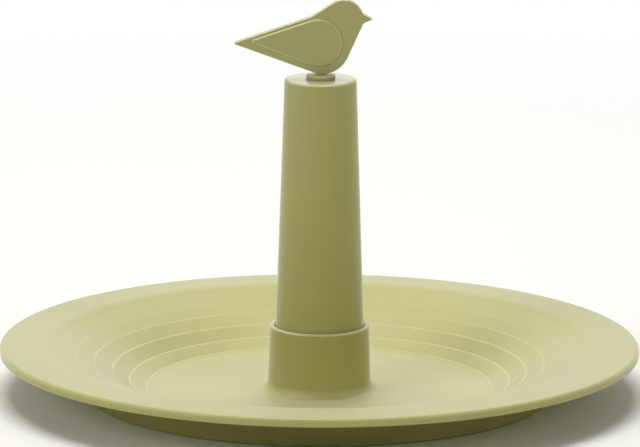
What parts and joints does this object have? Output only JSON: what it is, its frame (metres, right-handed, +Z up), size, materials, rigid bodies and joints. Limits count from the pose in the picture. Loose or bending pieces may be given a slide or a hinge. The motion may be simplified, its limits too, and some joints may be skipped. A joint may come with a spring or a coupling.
{
  "type": "bird waterer",
  "caption": "Wide ringed dish with a central socket that holds a lift-out tapered water reservoir, topped by a flat bird figure on a turning plug.",
  "frame": {"origin": "on the ground under the column's axis, at the middle of the foot ring's lower face", "axes": "+Z up along the column, +X the way the bird's beak points at rest, +Y to the side of the water port"},
  "size_m": [0.35, 0.35, 0.218],
  "materials": {
    "olive_plastic": "fine satin moulded polypropylene",
    "cap_plastic": "satin moulded polypropylene, natural",
    "seal_rubber": "moulded rubber"
  },
  "bodies": {
    "base": {"dish": "olive_plastic", "socket": "olive_plastic", "foot_ring": "olive_plastic"},
    "column": {"reservoir": "olive_plastic"},
    "cap": {"outlet_cap": "cap_plastic", "cap_seal": "seal_rubber"},
    "valve": {"valve_plunger": "cap_plastic", "valve_washer": "seal_rubber"},
    "bird": {"bird_figure": "olive_plastic", "bird_plug": "olive_plastic", "plug_seal": "seal_rubber"}
  },
  "joints": [
    {"name": "reservoir_lift", "type": "slide", "parent": "base", "child": "column", "axis": [0, 0, 1], "range_m": [0, 0.06]},
    {"name": "cap_turn", "type": "hinge", "parent": "column", "child": "cap", "pos_m": [0, 0, 0.03], "axis": [0, 0, 1], "range_deg": [0, 40]},
    {"name": "valve_drop", "type": "slide", "parent": "cap", "child": "valve", "axis": [0, 0, 1], "range_m": [-0.004, 0]},
    {"name": "bird_turn", "type": "hinge", "parent": "column", "child": "bird", "pos_m": [0, 0, 0.174], "axis": [0, 0, 1], "continuous": true}
  ],
  "couplings": [
    {"joint": "valve_drop", "follows": "reservoir_lift", "ratio": -0.066667}
  ]
}
